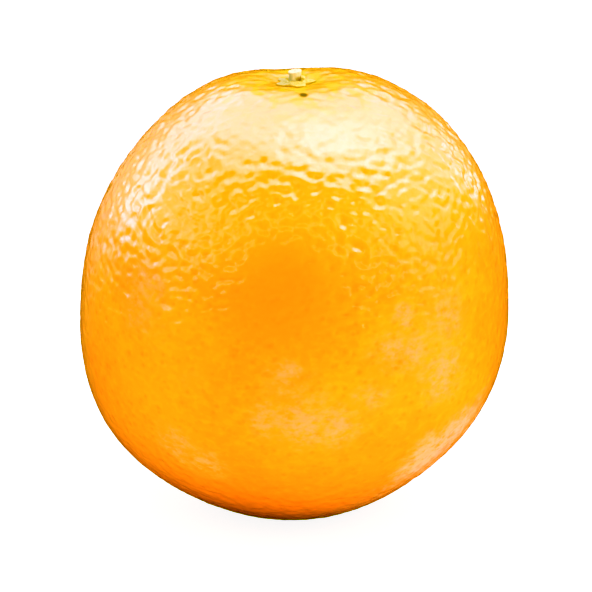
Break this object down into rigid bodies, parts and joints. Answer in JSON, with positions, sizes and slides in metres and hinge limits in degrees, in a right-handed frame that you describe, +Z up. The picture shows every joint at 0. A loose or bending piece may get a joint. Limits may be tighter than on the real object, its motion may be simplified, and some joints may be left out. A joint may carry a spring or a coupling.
{
  "type": "orange",
  "caption": "Whole sweet orange with pebbled peel, its stem button on top, standing on a small flat at the blossom end.",
  "frame": {"origin": "centre of the small flat foot at the blossom end, directly under the stem", "axes": "+Z up along the fruit's core towards the stem, -Y towards the side that the picture shows, +X to the right of that side"},
  "size_m": [0.0781, 0.0774, 0.0825],
  "materials": {
    "peel": "satin",
    "calyx": "matte",
    "stem": "matte"
  },
  "bodies": {
    "root": {"fruit": "peel", "calyx": "calyx", "stem_stub": "stem"}
  },
  "joints": []
}
